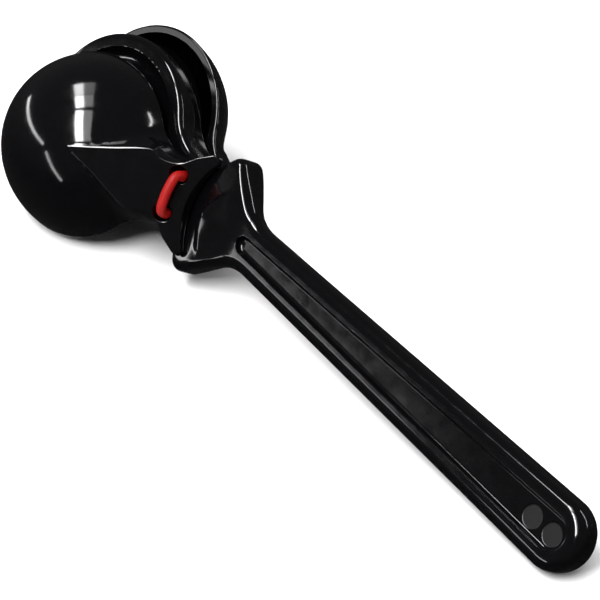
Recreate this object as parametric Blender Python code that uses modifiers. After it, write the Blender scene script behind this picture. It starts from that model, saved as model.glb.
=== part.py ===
"""A flapper castanet: a one-piece handle with a round paddle at its head, two hollow clapper shells
and the elastic cord that laces them to the shoulder of the handle.

Everything is built along the handle: X runs from the paddle to the butt, Y across the width and Z
out of the face that the front clapper covers. The hinge line, where the ears of the shells touch
the shoulder, is at X = 0. One empty then sets the whole instrument down as it lies on a table.
"""

import math

import bmesh
import bpy
import numpy as np
from mathutils import Matrix, Vector

MM = 0.001

# Paddle, waist and shoulder of the handle moulding
PADDLE_RADIUS = 27.0 * MM
PADDLE_CENTRE = 48.0 * MM
DISC_STRETCH = 1.04
HEAD_THICKNESS = 11.0 * MM
HEAD_EDGE = 1.8 * MM
RIM_LAND = 4.0 * MM
DISH_DEPTH = 2.4 * MM
DISH_STEPS = [(0.0, 0.2), (0.5, 0.8), (1.6, 1.0)]
WAIST_FROM_HINGE = 12.5 * MM
WAIST_HALF_WIDTH = 10.7 * MM
FLARE_RADIUS = 12.0 * MM
SHOULDER_HALF_WIDTH = 20.5 * MM
SHOULDER_CORNER = 0.8 * MM
SHOULDER_EDGE = 3.0 * MM
CORNER_RADIUS = 2.8 * MM
HUMP_HEIGHT = 1.9 * MM
HUMP_RAMP = 3.2 * MM
HUMP_FRONT = 0.4 * MM
HUMP_FRONT_RADIUS = 12.0 * MM
HUMP_INSET = 1.9 * MM
HUMP_BACK_START = 3.5 * MM
HUMP_BACK_END = 12.0 * MM

# Handle bar and the channel in each of its faces
BUTT_END = 161.0 * MM
BUTT_WIDTH = 20.2 * MM
BUTT_THICKNESS = 9.8 * MM
NECK_STATION = 15.4 * MM
NECK_WIDTH = 14.4 * MM
NECK_THICKNESS = 7.6 * MM
NECK_RADIUS = 15.0 * MM
BAR_EDGE = 3.4 * MM
CHANNEL_DEPTH = 2.2 * MM
CHANNEL_START = 17.0 * MM
CHANNEL_START_WIDTH = 4.6 * MM
CHANNEL_END_WIDTH = 10.0 * MM
CHANNEL_FILLET = 1.1 * MM
MARK_RADIUS = 3.4 * MM
MARK_DEPTH = 0.35 * MM
MARK_SPACING = 7.8 * MM
MARK_ASIDE = -0.8 * MM

# Clapper shells
CLAPPER_RADIUS = 27.5 * MM
DOME_HEIGHT = 22.6 * MM
SHELL_WALL = 2.4 * MM
MOUTH_LAND = 2.3 * MM
SHELL_EDGE = 0.7 * MM
EAR_TIP_THICKNESS = 1.4 * MM
EAR_ROOT = 40.0 * MM
EAR_INSET = 0.25 * MM
HORN_HALF_WIDTH = 16.4 * MM
HORN_RADIUS = 1.3 * MM
HORN_BACK = 0.3 * MM
EAR_ARC_DEPTH = 3.6 * MM
ARC_FROM_HORN = 2.86 * MM
BOSS_APEX = 37.5 * MM
BOSS_INSET = 0.35 * MM
BOSS_SIDE = [
    (27.0 * MM, 5.0 * MM),
    (17.9 * MM, 9.4 * MM),
    (14.9 * MM, 8.4 * MM),
    (11.9 * MM, 8.3 * MM),
    (8.9 * MM, 9.4 * MM),
    (5.3 * MM, 13.0 * MM),
    (1.6 * MM, 15.5 * MM),
]

# Lacing
CORD_DIAMETER = 2.8 * MM
CORD_IN_SHOULDER = 1.8 * MM
CORD_IN_EAR = 1.15 * MM
HOLE_FROM_HINGE = 8.5 * MM
HOLE_HALF_SPACING = 5.85 * MM
STITCH_RISE = 3.1 * MM
STITCH_SHIFT = 0.7 * MM
CORD_STAND = 1.6 * MM
KNOT_RISE = 5.8 * MM
CORD_LAG = 0.38

# Shape of the stitch over the front ear and of the two ends in the knot: (along, across, height)
# as shares of the shift, of the holes' half spacing and of the rise
STITCH_SHAPE = [(0.8, -0.8, 0.75), (1.0, -0.35, 1.0), (1.0, 0.35, 1.0), (0.8, 0.8, 0.75)]
KNOT_START = [(1.0, -1.1, 1.0), (1.0, -0.4, 1.0), (1.0, 0.4, 1.0), (0.5, 0.85, 0.75)]
KNOT_END = [(-0.5, -0.85, 0.75), (-1.0, -0.4, 1.0), (-1.0, 0.4, 1.0), (-1.0, 1.1, 1.0)]
KNOT_ASIDE = 1.55 * MM
KNOT_HALF_LENGTH = 2.95 * MM
KNOT_HALF_HEIGHT = 2.4 * MM
KNOT_CORD_RADIUS = 1.3 * MM

# Fit of the shells, and how they lie in the photograph
CLEARANCE = 0.3 * MM
FRONT_OPEN = math.radians(4.4)
BACK_OPEN = math.radians(0.4)
FRONT_SKEW = math.radians(10.6)
BACK_SKEW = math.radians(-10.8)
FRONT_SLIDE = -0.8 * MM
BACK_SLIDE = -1.8 * MM

# How the instrument lies on a table: on the back dome, the edge of the paddle and the butt
LEAN = math.radians(52.688)
PITCH = math.radians(4.197)

# Facets, and the length under which an edge left by a cut is closed up
DISC_STEPS = 44
ARC_STEPS = 8
DOME_STEPS = 10
BOWL_STEPS = 8
TOP_STEPS = 6
KNOT_STEPS = 16
STATION_STEP = 1.4 * MM
FACE_STEPS = 8
FLAT_ANGLE = math.radians(0.05)
SLIVER = 0.008 * MM
HALF_HEAD = HEAD_THICKNESS / 2
SPHERE_RADIUS = (CLAPPER_RADIUS**2 + DOME_HEIGHT**2) / (2 * DOME_HEIGHT)
SPHERE_CENTRE = DOME_HEIGHT - SPHERE_RADIUS


def clear_scene():
    for obj in list(bpy.data.objects):
        bpy.data.objects.remove(obj, do_unlink=True)


def make_collection(name):
    collection = bpy.data.collections.new(name)
    bpy.context.scene.collection.children.link(collection)
    return collection


def material(name, colour, roughness):
    made = bpy.data.materials.new(name)
    made.use_nodes = True
    shader = made.node_tree.nodes["Principled BSDF"]
    shader.inputs["Base Color"].default_value = (*colour, 1.0)
    shader.inputs["Roughness"].default_value = roughness
    shader.inputs["Metallic"].default_value = 0.0
    return made


def object_from_mesh(name, mesh, collection):
    obj = bpy.data.objects.new(name, mesh)
    collection.objects.link(obj)
    return obj


def as_cutter(obj):
    obj.hide_render = True
    obj.display_type = "WIRE"
    return obj


def arc(centre, radius, start, end, steps):
    """Points on an arc, both ends included, with angles in radians."""
    angles = np.linspace(start, end, steps + 1)
    return [(centre[0] + radius * math.cos(a), centre[1] + radius * math.sin(a)) for a in angles]


def mirrored(points):
    """The points, then the same points across Y = 0 in reverse, without doubling one on the line."""
    other = [(x, -y) for x, y in reversed(points) if abs(y) > 1e-7]
    return points + other


def plate(name, outline, bottom, top, edge, collection):
    """A plate from a closed outline, from Z = bottom to Z = top, with its edges rounded."""
    curve = bpy.data.curves.new(name, "CURVE")
    curve.dimensions = "2D"
    curve.fill_mode = "BOTH"
    curve.extrude = (top - bottom) / 2 - edge
    curve.bevel_depth = edge
    curve.bevel_resolution = 2
    curve.offset = -edge
    spline = curve.splines.new("POLY")
    spline.points.add(len(outline) - 1)
    for point, (x, y) in zip(spline.points, outline):
        point.co = (x, y, 0.0, 1.0)
    spline.use_cyclic_u = True
    guide = bpy.data.objects.new(name + "_curve", curve)
    bpy.context.scene.collection.objects.link(guide)
    guide.location.z = (top + bottom) / 2
    return curve_to_mesh(guide, name, collection)


def curve_to_mesh(guide, name, collection):
    """Makes the curve object a welded mesh object, in the curve's place."""
    bpy.context.view_layer.update()
    graph = bpy.context.evaluated_depsgraph_get()
    mesh = bpy.data.meshes.new_from_object(guide.evaluated_get(graph))
    work = bmesh.new()
    work.from_mesh(mesh)
    bmesh.ops.remove_doubles(work, verts=work.verts, dist=0.00001)
    bmesh.ops.recalc_face_normals(work, faces=work.faces)
    work.to_mesh(mesh)
    work.free()
    mesh.name = name
    mesh.transform(guide.matrix_world)
    bpy.data.objects.remove(guide, do_unlink=True)
    return object_from_mesh(name, mesh, collection)


def turned(name, profile, collection):
    """A body turned about Z from a profile of (radius, z) that runs down its outer side."""
    mesh = bpy.data.meshes.new(name)
    mesh.from_pydata(
        [(r, 0.0, z) for r, z in profile],
        [(i, i + 1) for i in range(len(profile) - 1)],
        [],
    )
    obj = object_from_mesh(name, mesh, collection)
    screw = obj.modifiers.new("turn", "SCREW")
    screw.steps = DISC_STEPS
    screw.render_steps = DISC_STEPS
    screw.use_merge_vertices = True
    screw.merge_threshold = 0.00001
    screw.use_smooth_shade = True
    return obj


def cylinder(name, radius, x, y, bottom, top, collection, sides=24):
    """An upright cylinder."""
    work = bmesh.new()
    place = Matrix.Translation((x, y, (bottom + top) / 2))
    bmesh.ops.create_cone(
        work, cap_ends=True, segments=sides, radius1=radius, radius2=radius, depth=top - bottom, matrix=place
    )
    mesh = bpy.data.meshes.new(name)
    work.to_mesh(mesh)
    work.free()
    return object_from_mesh(name, mesh, collection)


def combine(obj, other, operation):
    """Joins the other object or cuts with it, and keeps it as a hidden cutter.

    The result is kept and cleaned at once, so that slivers of one cut can't spoil the next.
    """
    modifier = obj.modifiers.new(operation.lower(), "BOOLEAN")
    modifier.operation = operation
    modifier.object = other
    modifier.solver = "EXACT"
    bpy.context.view_layer.update()
    graph = bpy.context.evaluated_depsgraph_get()
    mesh = bpy.data.meshes.new_from_object(obj.evaluated_get(graph))
    obj.modifiers.remove(modifier)
    work = bmesh.new()
    work.from_mesh(mesh)
    bmesh.ops.remove_doubles(work, verts=work.verts, dist=SLIVER)
    bmesh.ops.dissolve_degenerate(work, edges=work.edges, dist=SLIVER)
    work.to_mesh(mesh)
    work.free()
    mesh.name = obj.name
    obj.data = mesh
    as_cutter(other)


def finish(obj, finish_material, angle):
    """Gives a piece its one material, smooth round faces and sharp corners."""
    obj.data.materials.clear()
    obj.data.materials.append(finish_material)
    obj.data.shade_smooth()
    obj.data.set_sharp_from_angle(angle=math.radians(angle))


def castanet_side(radius, corner, with_disc):
    """The upper side of the outline, from the far end of the disc to the flare of the waist.

    The disc runs into the waist through an arc that touches both, and the waist opens again along
    an arc of its own until it heads for the corner. Without the disc it starts on the disc's edge.
    It is worked out for a round disc and then stretched along the handle.
    """
    disc = (-PADDLE_CENTRE / DISC_STRETCH, 0.0)
    waist = (-WAIST_FROM_HINGE / DISC_STRETCH, WAIST_HALF_WIDTH)
    reach = waist[0] - disc[0]
    fillet = (reach**2 + waist[1] ** 2 - radius**2) / (2 * (radius - waist[1]))
    centre = (waist[0], waist[1] + fillet)
    meets = math.atan2(centre[1], reach)
    points = arc(disc, radius, math.pi, meets, DISC_STEPS // 2)[:-1] if with_disc else []
    points += arc(centre, fillet, meets + math.pi, 1.5 * math.pi, ARC_STEPS)
    flare = (waist[0], waist[1] + FLARE_RADIUS)
    turn = flare_turn(flare, (corner[0] / DISC_STRETCH, corner[1]))
    points += arc(flare, FLARE_RADIUS, -math.pi / 2, -math.pi / 2 + turn, ARC_STEPS)[1:]
    return [(x * DISC_STRETCH, y) for x, y in points]


def flare_turn(centre, corner):
    """How far round the flare arc its tangent points at the corner."""
    away = Vector((corner[0] - centre[0], corner[1] - centre[1]))
    direction = math.atan2(away.y, away.x)
    return direction + math.pi / 2 - math.acos(min(1.0, FLARE_RADIUS / away.length))


def rounded(points, radius, steps):
    """The corners of an open run of points, each but the ends rounded with an arc."""
    out = [points[0]]
    for before, at, after in zip(points, points[1:], points[2:]):
        corner = Vector(at)
        first = (Vector(before) - corner).normalized()
        second = (Vector(after) - corner).normalized()
        half = first.angle(second) / 2
        inward = (first + second).normalized()
        centre = corner + inward * (radius / math.sin(half))
        start = corner + first * (radius / math.tan(half)) - centre
        end = corner + second * (radius / math.tan(half)) - centre
        sweep = start.angle_signed(end)
        for i in range(steps + 1):
            turn = -sweep * i / steps
            out.append(tuple(centre + Matrix.Rotation(turn, 2) @ start))
    out.append(points[-1])
    return out


def ramp_slope():
    """The slope of the boss, from the tip of the ear up to the dome at the apex."""
    along = (PADDLE_CENTRE - BOSS_APEX) / DISC_STRETCH
    height = SPHERE_CENTRE + math.sqrt(SPHERE_RADIUS**2 - along**2)
    return (height - EAR_TIP_THICKNESS) / BOSS_APEX


def boss_height(from_hinge):
    return EAR_TIP_THICKNESS + ramp_slope() * from_hinge


def ear_arc():
    """Half of the hollowed lower edge of the ear, from near a horn to its middle."""
    half = HORN_HALF_WIDTH - ARC_FROM_HORN
    radius = (half**2 + EAR_ARC_DEPTH**2) / (2 * EAR_ARC_DEPTH)
    centre = (radius - EAR_ARC_DEPTH, 0.0)
    spread = math.asin(half / radius)
    return arc(centre, radius, math.pi - spread, math.pi, ARC_STEPS)


def ear_halves():
    """Half of the ear's foot and half of its flat top, point for point, each from root to hollow."""
    side = castanet_side(CLAPPER_RADIUS - EAR_INSET, (0.0, HORN_HALF_WIDTH), False)
    lower = ear_arc()
    horn = (-HORN_BACK, HORN_HALF_WIDTH + HORN_BACK)
    tip = rounded([side[-1], horn, lower[0]], HORN_RADIUS, 4)[1:-1]
    foot = [(-EAR_ROOT, 0.0)] + side + tip + lower
    edge = [Vector((-x, y)) for x, y in BOSS_SIDE]
    waist = min(range(len(edge)), key=lambda i: edge[i].y if i else CLAPPER_RADIUS)
    upper = smooth_run(edge, TOP_STEPS)
    split = waist * TOP_STEPS
    top = [(-BOSS_APEX, 0.0)] + spread(upper[: split + 1], ARC_STEPS) + spread(upper[split:], ARC_STEPS)[1:]
    top += [(x - BOSS_INSET, y * (1 - BOSS_INSET / HORN_HALF_WIDTH)) for x, y in tip + lower]
    return foot, top


def spread(points, steps):
    """A number of even steps along a run of points."""
    lengths = [0.0]
    for first, second in zip(points, points[1:]):
        lengths.append(lengths[-1] + (second - first).length)
    places = np.linspace(0.0, lengths[-1], steps + 1)
    return [tuple(np.interp(p, lengths, [v[i] for v in points]) for i in (0, 1)) for p in places]


def drawn_in(outline, distance):
    """A closed outline, drawn in by a distance along the mean direction of its sides."""
    out = []
    for i, (x, y) in enumerate(outline):
        before = Vector(outline[i - 1])
        after = Vector(outline[(i + 1) % len(outline)])
        along = (after - before).normalized()
        out.append((x + distance * along.y, y - distance * along.x))
    return out


def make_ear(name, collection):
    """The ear, lofted from its foot at the mouth's level up to the flat top of the ramp."""
    foot, top = (mirrored(half) for half in ear_halves())
    rings = []
    for turn in (0.0, math.pi / 6, math.pi / 3, math.pi / 2):
        inset = SHELL_EDGE * (1 - math.sin(turn))
        height = SHELL_EDGE * (1 - math.cos(turn))
        rings.append([(x, y, height) for x, y in drawn_in(foot, inset)])
    rings.append([(x, y, boss_height(-x)) for x, y in top])
    work = bmesh.new()
    made = [[work.verts.new(p) for p in ring] for ring in rings]
    for first, second in zip(made, made[1:]):
        for i in range(len(first)):
            j = (i + 1) % len(first)
            work.faces.new((first[i], first[j], second[j], second[i]))
    work.faces.new(list(reversed(made[0])))
    work.faces.new(made[-1])
    bmesh.ops.triangulate(work, faces=[f for f in work.faces if len(f.verts) == 4])
    bmesh.ops.recalc_face_normals(work, faces=work.faces)
    mesh = bpy.data.meshes.new(name)
    work.to_mesh(mesh)
    work.free()
    return object_from_mesh(name, mesh, collection)


def cap(radius, lowest, steps):
    """A profile along the shell's sphere, or one inside it, from the top down to a height."""
    angles = np.linspace(0.0, math.acos((lowest - SPHERE_CENTRE) / radius), steps + 1)
    points = [(radius * math.sin(a), SPHERE_CENTRE + radius * math.cos(a)) for a in angles]
    points[0] = (0.0, points[0][1])
    return points


def dome_profile():
    """The outside of a shell down to its mouth, with a rounded edge round the mouth."""
    points = cap(SPHERE_RADIUS, SHELL_EDGE, DOME_STEPS)
    rim = points[-1][0]
    for a in (math.pi / 6, math.pi / 3):
        points.append((rim - SHELL_EDGE * (1 - math.cos(a)), SHELL_EDGE * (1 - math.sin(a))))
    return points + [(rim - SHELL_EDGE, 0.0), (0.0, 0.0)]


def bowl_profile():
    """The hollow of a shell, run out through its mouth."""
    inner = SPHERE_RADIUS - SHELL_WALL
    mouth = CLAPPER_RADIUS - MOUTH_LAND
    lowest = SPHERE_CENTRE + math.sqrt(inner**2 - mouth**2)
    return cap(inner, lowest, BOWL_STEPS) + [(mouth, -SHELL_WALL), (0.0, -SHELL_WALL)]


def make_clapper(name, collection, cutters, finish_material):
    """One shell in its own axes: hinge line on Y, disc toward negative X, outside toward Z."""
    shell = make_ear(name, collection)
    dome = turned(name + "_dome", dome_profile(), cutters)
    dome.location.x = -PADDLE_CENTRE
    dome.scale.x = DISC_STRETCH
    combine(shell, dome, "UNION")
    bowl = turned(name + "_bowl", bowl_profile(), cutters)
    bowl.location.x = -PADDLE_CENTRE
    bowl.scale.x = DISC_STRETCH
    combine(shell, bowl, "DIFFERENCE")
    for side in (-1, 1):
        hole = cylinder(
            f"{name}_hole_{'lower' if side < 0 else 'upper'}",
            CORD_DIAMETER / 2 + CORD_IN_EAR,
            -HOLE_FROM_HINGE,
            side * HOLE_HALF_SPACING,
            -SHELL_WALL,
            2 * DOME_HEIGHT,
            cutters,
        )
        combine(shell, hole, "DIFFERENCE")
    finish(shell, finish_material, 28)
    return shell


def paddle_outline():
    """The disc of the paddle and its waist, run a little way into the shoulder."""
    side = castanet_side(PADDLE_RADIUS, (SHOULDER_CORNER, SHOULDER_HALF_WIDTH), True)
    waist = [point for point in side if point[0] <= -WAIST_FROM_HINGE + 1e-9]
    inside = (-WAIST_FROM_HINGE + 2 * HEAD_EDGE, WAIST_HALF_WIDTH - HEAD_EDGE)
    return mirrored(waist + [inside])


def grip_side():
    """The upper side of the shoulder and handle, from the waist to the start of the round butt."""
    corner = (SHOULDER_CORNER, SHOULDER_HALF_WIDTH)
    flare = castanet_side(PADDLE_RADIUS, corner, True)
    flare = [point for point in flare if point[0] >= -WAIST_FROM_HINGE - 1e-9]
    butt = BUTT_END - BUTT_WIDTH / 2
    neck = (NECK_STATION, NECK_WIDTH / 2)
    first = rounded([flare[-1], corner, neck], CORNER_RADIUS, 6)
    second = rounded([first[-2], neck, (butt, BUTT_WIDTH / 2)], NECK_RADIUS, 6)
    return spaced(flare + first[1:-1] + second[1:])


def spaced(points):
    """The same run with more points on its long straight stretches in the shoulder."""
    out = [points[0]]
    for (x0, y0), (x1, y1) in zip(points, points[1:]):
        steps = max(1, math.ceil((x1 - x0) / STATION_STEP)) if x1 < 2 * NECK_STATION else 1
        out += [(x0 + (x1 - x0) * i / steps, y0 + (y1 - y0) * i / steps) for i in range(1, steps + 1)]
    return out


def hump(x, y, half_width):
    """How far the shoulder stands above its land: a smooth hump that the ear's hollow edge clears."""
    from_front = x - HUMP_FRONT - y * y / (2 * HUMP_FRONT_RADIUS)
    from_side = (half_width - abs(y)) * math.cos(math.pi / 4) - HUMP_INSET
    rise = ease(from_front, 0.0, HUMP_RAMP) * ease(from_side, 0.0, HUMP_RAMP)
    return HUMP_HEIGHT * rise * (1 - ease(x, HUMP_BACK_START, HUMP_BACK_END))


def section(x, half_width, half_thickness, edge_across, edge_up):
    """A rounded rectangle across the handle, with the hump on both of its faces."""
    ring = []
    flat = half_width - edge_across
    for quarter in range(4):
        across = 1 if quarter in (0, 3) else -1
        up = 1 if quarter < 2 else -1
        for y, z in arc((0.0, 0.0), 1.0, quarter * math.pi / 2, (quarter + 1) * math.pi / 2, 4):
            ring.append((x, across * flat + edge_across * y, up * (half_thickness - edge_up) + edge_up * z))
        if quarter in (0, 2):
            for i in range(1, 2 * FACE_STEPS):
                y = up * flat * math.cos(math.pi * i / (2 * FACE_STEPS))
                ring.append((x, y, up * (half_thickness + hump(x, y, half_width))))
    return ring


def ease(x, start, end):
    """Rises smoothly from 0 at the start to 1 at the end."""
    share = min(1.0, max(0.0, (x - start) / (end - start)))
    return share * share * (3 - 2 * share)


def half_thickness(x):
    """Half of the handle's thickness, which falls off behind the shoulder and grows to the butt."""
    share = max(0.0, x - NECK_STATION) / (BUTT_END - NECK_STATION)
    bar = (NECK_THICKNESS + (BUTT_THICKNESS - NECK_THICKNESS) * share) / 2
    return HALF_HEAD + (bar - HALF_HEAD) * ease(x, HUMP_BACK_START, NECK_STATION)


def edge_radius(x):
    """The rounding along the handle grows from the paddle's, over the shoulder's, to the bar's."""
    shoulder = HEAD_EDGE + (SHOULDER_EDGE - HEAD_EDGE) * ease(x, -WAIST_FROM_HINGE, 0.0)
    return shoulder + (BAR_EDGE - shoulder) * ease(x, 0.0, NECK_STATION)


def grip_rings():
    """Sections from inside the paddle's waist to the tip of the butt."""
    rings = []
    for x, half_width in grip_side():
        edge = edge_radius(x)
        rings.append(section(x, half_width, half_thickness(x), edge, edge))
    inside = WAIST_FROM_HINGE + HEAD_EDGE
    first = section(-inside, WAIST_HALF_WIDTH - HEAD_EDGE, HALF_HEAD, HEAD_EDGE, HEAD_EDGE)
    radius = BUTT_WIDTH / 2
    centre = BUTT_END - radius
    flat = radius - BAR_EDGE
    for turn in np.linspace(0.0, math.pi / 2, 11)[1:]:
        along = radius * math.sin(turn)
        half_width = radius * math.cos(turn)
        past = max(0.0, along - flat)
        edge = math.sqrt(max(0.0, BAR_EDGE**2 - past**2))
        inner = math.sqrt(max(0.0, flat**2 - along**2))
        height = half_thickness(centre + along) - BAR_EDGE + edge
        rings.append(section(centre + along, half_width, height, half_width - inner, edge))
    return [first] + rings


def make_grip(name, collection):
    """Shoulder, handle and butt, lofted through their sections."""
    work = bmesh.new()
    made = [[work.verts.new(p) for p in ring] for ring in grip_rings()]
    for first, second in zip(made, made[1:]):
        for i in range(len(first)):
            j = (i + 1) % len(first)
            work.faces.new((first[i], first[j], second[j], second[i]))
    work.faces.new(list(reversed(made[0])))
    bmesh.ops.remove_doubles(work, verts=work.verts, dist=SLIVER)
    bmesh.ops.dissolve_degenerate(work, edges=work.edges, dist=SLIVER)
    bmesh.ops.dissolve_limit(work, angle_limit=FLAT_ANGLE, verts=work.verts, edges=work.edges)
    bmesh.ops.recalc_face_normals(work, faces=work.faces)
    mesh = bpy.data.meshes.new(name)
    work.to_mesh(mesh)
    work.free()
    return object_from_mesh(name, mesh, collection)


def channel_outline():
    """A slot that widens toward the butt, round at both ends."""
    start = (CHANNEL_START, CHANNEL_START_WIDTH / 2)
    end = (BUTT_END - BUTT_WIDTH / 2, CHANNEL_END_WIDTH / 2)
    half = arc((start[0], 0.0), start[1], math.pi, math.pi / 2, ARC_STEPS)
    half += arc((end[0], 0.0), end[1], math.pi / 2, 0.0, ARC_STEPS)
    return mirrored(half)


def make_handle(collection, cutters, finish_material):
    handle = plate("handle_paddle", paddle_outline(), -HALF_HEAD, HALF_HEAD, HEAD_EDGE, collection)
    combine(handle, make_grip("grip", cutters), "UNION")
    dish_radius = PADDLE_RADIUS - RIM_LAND
    reach = HALF_HEAD + CLEARANCE
    for face in (-1, 1):
        word = "front" if face > 0 else "back"
        profile = [(0.0, reach), (dish_radius, reach)]
        profile += [(dish_radius - i * DISH_DEPTH, HALF_HEAD - d * DISH_DEPTH) for i, d in DISH_STEPS]
        profile.append((0.0, HALF_HEAD - DISH_DEPTH))
        dish = turned("dish_" + word, profile, cutters)
        dish.location.x = -PADDLE_CENTRE
        dish.scale.x = DISC_STRETCH
        dish.rotation_euler.x = 0.0 if face > 0 else math.pi
        combine(handle, dish, "DIFFERENCE")
        combine(handle, make_channel("channel_" + word, face, cutters), "DIFFERENCE")
    for side in (-1, 1):
        hole = cylinder(
            "lacing_" + ("lower" if side < 0 else "upper"),
            CORD_DIAMETER / 2 + CORD_IN_SHOULDER,
            -HOLE_FROM_HINGE,
            side * HOLE_HALF_SPACING,
            -HEAD_THICKNESS,
            HEAD_THICKNESS,
            cutters,
            16,
        )
        combine(handle, hole, "DIFFERENCE")
    floor = channel_floor(BUTT_END - BUTT_WIDTH / 2)
    for number in (0, 1):
        mark = cylinder(
            f"mark_{number + 1}",
            MARK_RADIUS,
            BUTT_END - BUTT_WIDTH / 2 - number * MARK_SPACING,
            MARK_ASIDE,
            floor - MARK_DEPTH,
            HEAD_THICKNESS,
            cutters,
        )
        combine(handle, mark, "DIFFERENCE")
    finish(handle, finish_material, 28)
    return handle


def channel_floor(x):
    """Height of the channel floor above the middle of the handle."""
    return half_thickness(x) - CHANNEL_DEPTH


def make_channel(name, face, cutters):
    """A cutter whose floor follows the taper of the handle's thickness."""
    height = HEAD_THICKNESS
    cutter = plate(name, channel_outline(), 0.0, height, CHANNEL_FILLET, cutters)
    first = channel_floor(CHANNEL_START)
    last = channel_floor(BUTT_END)
    tilt = math.atan((last - first) / (BUTT_END - CHANNEL_START))
    place = Matrix.Translation((CHANNEL_START, 0.0, first)) @ Matrix.Rotation(-tilt, 4, "Y")
    cutter.data.transform(place @ Matrix.Translation((-CHANNEL_START, 0.0, 0.0)))
    if face < 0:
        cutter.data.transform(Matrix.Rotation(math.pi, 4, "X"))
    cutter.location = (0.0, 0.0, 0.0)
    return cutter


def hinge_frames(word, face, skew, slide, opening, table):
    """Two nested empties: one turns a shell on the lacing, the next is its hinge."""
    pivot = bpy.data.objects.new(word + "_lacing_point", None)
    pivot.location = (-HOLE_FROM_HINGE, slide, face * (HALF_HEAD + CLEARANCE))
    pivot.rotation_euler = (0.0 if face > 0 else math.pi, 0.0, skew)
    pivot.parent = table
    hinge = bpy.data.objects.new(word + "_hinge", None)
    hinge.location = (HOLE_FROM_HINGE, 0.0, 0.0)
    hinge.rotation_euler = (0.0, opening, 0.0)
    hinge.parent = pivot
    for empty in (pivot, hinge):
        bpy.context.scene.collection.objects.link(empty)
    return hinge


def local_matrix(empty, top):
    """Where an empty lies in the axes of the empty at the top of its chain."""
    matrix = Matrix.Identity(4)
    while empty is not None and empty is not top:
        matrix = empty.matrix_basis @ matrix
        empty = empty.parent
    return matrix


def cord_route(front, back):
    """The cord's way: from the knot behind, through both shells and the shoulder, and round."""
    route = run_over(back, KNOT_START, KNOT_ASIDE, KNOT_RISE)
    route += one_leg(front, back, -1)
    route += run_over(front, STITCH_SHAPE, STITCH_SHIFT, STITCH_RISE)
    route += list(reversed(one_leg(front, back, 1)))
    return route + run_over(back, KNOT_END, KNOT_ASIDE, KNOT_RISE)


def run_over(matrix, shape, aside, rise):
    """A run of the cord over a ramp, from its shares of a shift, the holes' spacing and a rise."""
    return [on_ramp(matrix, x * aside, y * HOLE_HALF_SPACING, z * rise) for x, y, z in shape]


def on_ramp(matrix, x, y, height):
    """A point above the ramp of a shell, from the middle of its two holes."""
    return matrix @ Vector((-HOLE_FROM_HINGE + x, y, boss_height(HOLE_FROM_HINGE - x) + height))


def one_leg(front, back, side):
    """Through the back shell, the shoulder and the front shell, on one side of the middle.

    A shell that has slid along its hinge line pulls the cord part of the way with it.
    """
    y = side * HOLE_HALF_SPACING
    outer = boss_height(HOLE_FROM_HINGE)
    pull_front = Vector((0.0, -CORD_LAG * FRONT_SLIDE, 0.0))
    pull_back = Vector((0.0, -CORD_LAG * BACK_SLIDE, 0.0))
    first = back @ Vector((-HOLE_FROM_HINGE, -y, 0.5 * outer)) + pull_back
    last = front @ Vector((-HOLE_FROM_HINGE, y, 0.5 * outer)) + pull_front
    points = [back @ Vector((-HOLE_FROM_HINGE, -y, outer + CORD_STAND)) + pull_back]
    points += [first.lerp(last, share) for share in (0.0, 0.25, 0.5, 0.75, 1.0)]
    points.append(front @ Vector((-HOLE_FROM_HINGE, y, outer + CORD_STAND)) + pull_front)
    return points


def smooth_run(route, steps):
    """A smooth curve through the route's own points."""
    padded = [2 * route[0] - route[1]] + route + [2 * route[-1] - route[-2]]
    out = []
    for before, start, end, after in zip(padded, padded[1:], padded[2:], padded[3:]):
        for i in range(steps):
            t = i / steps
            out.append(
                0.5
                * (
                    2 * start
                    + (end - before) * t
                    + (2 * before - 5 * start + 4 * end - after) * t**2
                    + (3 * start - 3 * end + after - before) * t**3
                )
            )
    return out + [route[-1]]


def make_cord(front, back, table, collection, cutters, finish_material):
    points = smooth_run(cord_route(front, back), 2)
    curve = bpy.data.curves.new("elastic_cord", "CURVE")
    curve.dimensions = "3D"
    curve.bevel_depth = CORD_DIAMETER / 2
    curve.bevel_resolution = 2
    curve.use_fill_caps = True
    spline = curve.splines.new("POLY")
    spline.points.add(len(points) - 1)
    for point, place in zip(spline.points, points):
        point.co = (*place, 1.0)
    guide = bpy.data.objects.new("cord_route", curve)
    bpy.context.scene.collection.objects.link(guide)
    cord = curve_to_mesh(guide, "elastic_cord", collection)
    knot = make_knot(back, cutters)
    combine(cord, knot, "UNION")
    finish(cord, finish_material, 60)
    cord.parent = table
    return cord


def make_knot(back, cutters):
    """The turn of cord that binds the two ends behind the back shell."""
    ring = []
    for a in np.linspace(0.0, 2 * math.pi, KNOT_STEPS + 1)[:-1]:
        height = KNOT_RISE + KNOT_HALF_HEIGHT * math.sin(a)
        ring.append(on_ramp(back, KNOT_HALF_LENGTH * math.cos(a), 0.0, height))
    curve = bpy.data.curves.new("knot", "CURVE")
    curve.dimensions = "3D"
    curve.bevel_depth = KNOT_CORD_RADIUS
    curve.bevel_resolution = 2
    spline = curve.splines.new("POLY")
    spline.points.add(len(ring) - 1)
    for point, place in zip(spline.points, ring):
        point.co = (*place, 1.0)
    spline.use_cyclic_u = True
    guide = bpy.data.objects.new("knot_route", curve)
    bpy.context.scene.collection.objects.link(guide)
    return curve_to_mesh(guide, "knot", cutters)


def set_down(table, parts):
    """Leans everything over as it lies, and puts its lowest point on Z = 0 under its middle."""
    table.rotation_euler = (LEAN, PITCH, 0.0)
    bpy.context.view_layer.update()
    corners = [obj.matrix_world @ v.co for obj in parts.objects for v in obj.data.vertices]
    low = Vector(min(c[i] for c in corners) for i in range(3))
    high = Vector(max(c[i] for c in corners) for i in range(3))
    middle = (low + high) / 2
    table.location = (-middle.x, -middle.y, -low.z)
    bpy.context.view_layer.update()


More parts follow.
